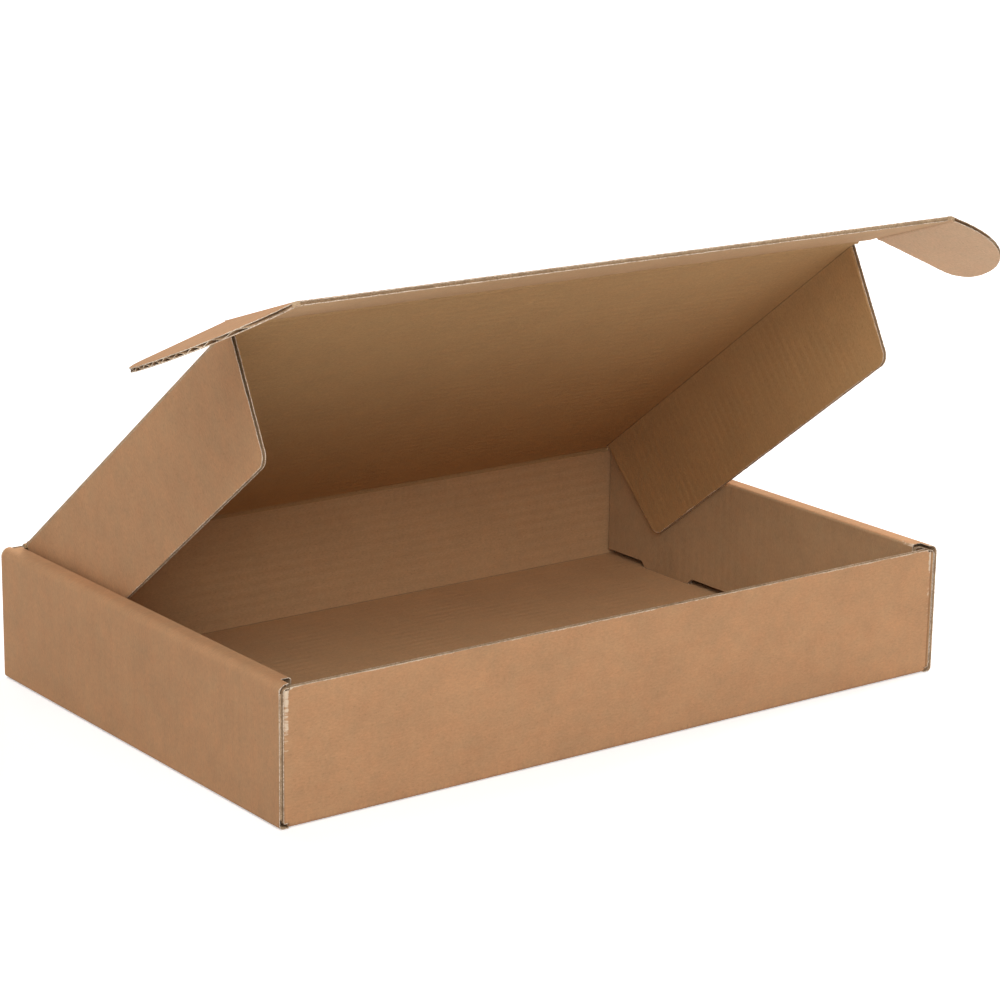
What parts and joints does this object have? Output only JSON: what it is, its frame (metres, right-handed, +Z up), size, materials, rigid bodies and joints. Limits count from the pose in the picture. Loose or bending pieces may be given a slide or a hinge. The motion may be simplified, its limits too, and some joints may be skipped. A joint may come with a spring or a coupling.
{
  "type": "corrugated mailer box",
  "caption": "Low rectangular die-cut mailer box of brown corrugated board, with a hinged lid, side dust flaps and a front tuck panel with rounded ears.",
  "frame": {"origin": "middle of the tray's flat underside, on the surface it stands on", "axes": "+X along the box's length to the right, +Y from the front wall to the hinged back wall, +Z up"},
  "size_m": [0.5869, 0.3144, 0.2818],
  "materials": {
    "tray_board": "brown kraft board, matt",
    "lid_board": "brown kraft board, matt",
    "tuck_board": "brown kraft board, matt",
    "ear_board": "brown kraft board, matt"
  },
  "bodies": {
    "tray": {"tray": "tray_board"},
    "lid": {"lid": "lid_board"},
    "tuck": {"tuck_panel": "tuck_board"},
    "ear_l": {"ear_left": "ear_board"},
    "ear_r": {"ear_right": "ear_board"}
  },
  "joints": [
    {"name": "lid_hinge", "type": "hinge", "parent": "tray", "child": "lid", "pos_m": [0, 0.1505, 0.0785], "axis": [-1, 0, 0], "range_deg": [-36.4, 143]},
    {"name": "tuck_fold", "type": "hinge", "parent": "lid", "child": "tuck", "pos_m": [0, -0.08709, 0.25754], "axis": [1, 0, 0], "range_deg": [-19, 71.6]},
    {"name": "ear_left_fold", "type": "hinge", "parent": "tuck", "child": "ear_l", "pos_m": [-0.227, -0.08709, 0.25754], "axis": [0, -0.9511, 0.309], "range_deg": [-20.1, 75.2]},
    {"name": "ear_right_fold", "type": "hinge", "parent": "tuck", "child": "ear_r", "pos_m": [0.227, -0.08709, 0.25754], "axis": [0, 0.9511, -0.309], "range_deg": [-16.9, 63.2]}
  ],
  "couplings": [
    {"joint": "ear_left_fold", "follows": "tuck_fold", "ratio": 1.0475},
    {"joint": "ear_right_fold", "follows": "tuck_fold", "ratio": 0.87989}
  ]
}
